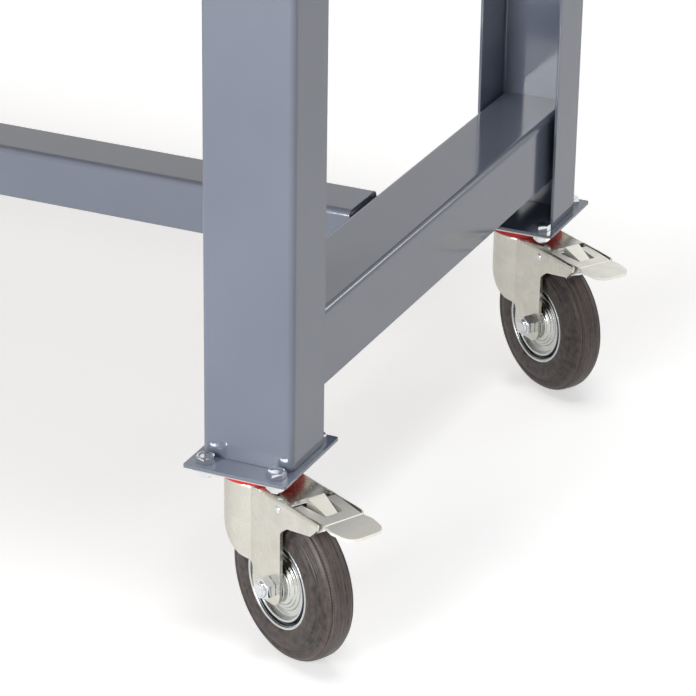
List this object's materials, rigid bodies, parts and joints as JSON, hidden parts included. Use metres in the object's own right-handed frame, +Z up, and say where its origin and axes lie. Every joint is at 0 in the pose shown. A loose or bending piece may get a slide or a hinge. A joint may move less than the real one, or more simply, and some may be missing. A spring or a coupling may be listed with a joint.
{
  "type": "mobile workbench",
  "caption": "Mobile workbench: beech worktop on a grey-blue channel steel frame with a lower stringer, braked swivel casters at one end and fixed casters at the other.",
  "frame": {"origin": "on the floor under the middle of the worktop", "axes": "+X along the bench towards the braked swivel casters, +Y to the back, +Z up"},
  "size_m": [1.5, 0.7, 0.85],
  "materials": {
    "beech": "lacquered beech multiplex",
    "enamel": "semi-gloss grey-blue enamel on sheet steel",
    "caster_zinc": "satin galvanised pressed steel",
    "rim_zinc": "bright galvanised pressed steel",
    "fastener_zinc": "bright zinc plated",
    "bearing_steel": "plain bearing steel",
    "tyre_rubber": "solid dark rubber",
    "seal_plastic": "red moulded plastic"
  },
  "bodies": {
    "bench": {"worktop": "beech", "worktop_screws": "fastener_zinc", "leg_front_right": "enamel", "leg_back_right": "enamel", "leg_front_left": "enamel", "leg_back_left": "enamel", "foot_plate_front_right": "enamel", "foot_plate_back_right": "enamel", "foot_plate_front_left": "enamel", "foot_plate_back_left": "enamel", "lower_rail_right": "enamel", "lower_rail_left": "enamel", "upper_rail_right": "enamel", "upper_rail_left": "enamel", "stringer": "enamel", "beam_front": "enamel", "beam_back": "enamel", "beam_end_plates": "enamel", "frame_bolts": "fastener_zinc", "frame_nuts": "fastener_zinc", "caster_bolts": "fastener_zinc", "caster_nuts": "fastener_zinc", "top_plate_front": "caster_zinc", "top_plate_back": "caster_zinc", "kingpins": "bearing_steel", "fixed_fork_front": "caster_zinc", "fixed_fork_back": "caster_zinc", "fixed_axle_bolts": "fastener_zinc", "fixed_axle_nuts": "fastener_zinc", "fixed_axle_sleeves": "bearing_steel"},
    "caster_front": {"fork_front": "caster_zinc", "seal_ring_front": "seal_plastic", "ball_race_front": "bearing_steel", "axle_bolt_front": "fastener_zinc", "axle_nut_front": "fastener_zinc", "axle_sleeve_front": "bearing_steel", "brake_pin_front": "fastener_zinc"},
    "pedal_front": {"brake_pedal_front": "caster_zinc", "brake_shoe_front": "bearing_steel"},
    "wheel_front_right": {"tyre_front_right": "tyre_rubber", "rim_front_right": "rim_zinc", "bearing_front_right": "bearing_steel"},
    "wheel_front_left": {"tyre_front_left": "tyre_rubber", "rim_front_left": "rim_zinc", "bearing_front_left": "bearing_steel"},
    "caster_back": {"fork_back": "caster_zinc", "seal_ring_back": "seal_plastic", "ball_race_back": "bearing_steel", "axle_bolt_back": "fastener_zinc", "axle_nut_back": "fastener_zinc", "axle_sleeve_back": "bearing_steel", "brake_pin_back": "fastener_zinc"},
    "pedal_back": {"brake_pedal_back": "caster_zinc", "brake_shoe_back": "bearing_steel"},
    "wheel_back_right": {"tyre_back_right": "tyre_rubber", "rim_back_right": "rim_zinc", "bearing_back_right": "bearing_steel"},
    "wheel_back_left": {"tyre_back_left": "tyre_rubber", "rim_back_left": "rim_zinc", "bearing_back_left": "bearing_steel"}
  },
  "joints": [
    {"name": "caster_front_swivel", "type": "hinge", "parent": "bench", "child": "caster_front", "pos_m": [0.6235, -0.2615, 0.138], "axis": [0, 0, 1], "continuous": true},
    {"name": "wheel_front_right_spin", "type": "hinge", "parent": "caster_front", "child": "wheel_front_right", "pos_m": [0.65882, -0.28028, 0.0625], "axis": [0.4695, 0.8829, 0], "continuous": true},
    {"name": "brake_pedal_front_press", "type": "hinge", "parent": "caster_front", "child": "pedal_front", "pos_m": [0.66703, -0.28464, 0.1293], "axis": [0.4695, 0.8829, 0], "range_deg": [0, 14]},
    {"name": "wheel_front_left_spin", "type": "hinge", "parent": "bench", "child": "wheel_front_left", "pos_m": [-0.6235, -0.2615, 0.0625], "axis": [0, 1, 0], "continuous": true},
    {"name": "caster_back_swivel", "type": "hinge", "parent": "bench", "child": "caster_back", "pos_m": [0.6235, 0.2615, 0.138], "axis": [0, 0, 1], "continuous": true},
    {"name": "wheel_back_right_spin", "type": "hinge", "parent": "caster_back", "child": "wheel_back_right", "pos_m": [0.65742, 0.2403, 0.0625], "axis": [0.5299, 0.848, 0], "continuous": true},
    {"name": "brake_pedal_back_press", "type": "hinge", "parent": "caster_back", "child": "pedal_back", "pos_m": [0.66531, 0.23538, 0.1293], "axis": [0.5299, 0.848, 0], "range_deg": [0, 14]},
    {"name": "wheel_back_left_spin", "type": "hinge", "parent": "bench", "child": "wheel_back_left", "pos_m": [-0.6235, 0.2615, 0.0625], "axis": [0, 1, 0], "continuous": true}
  ]
}
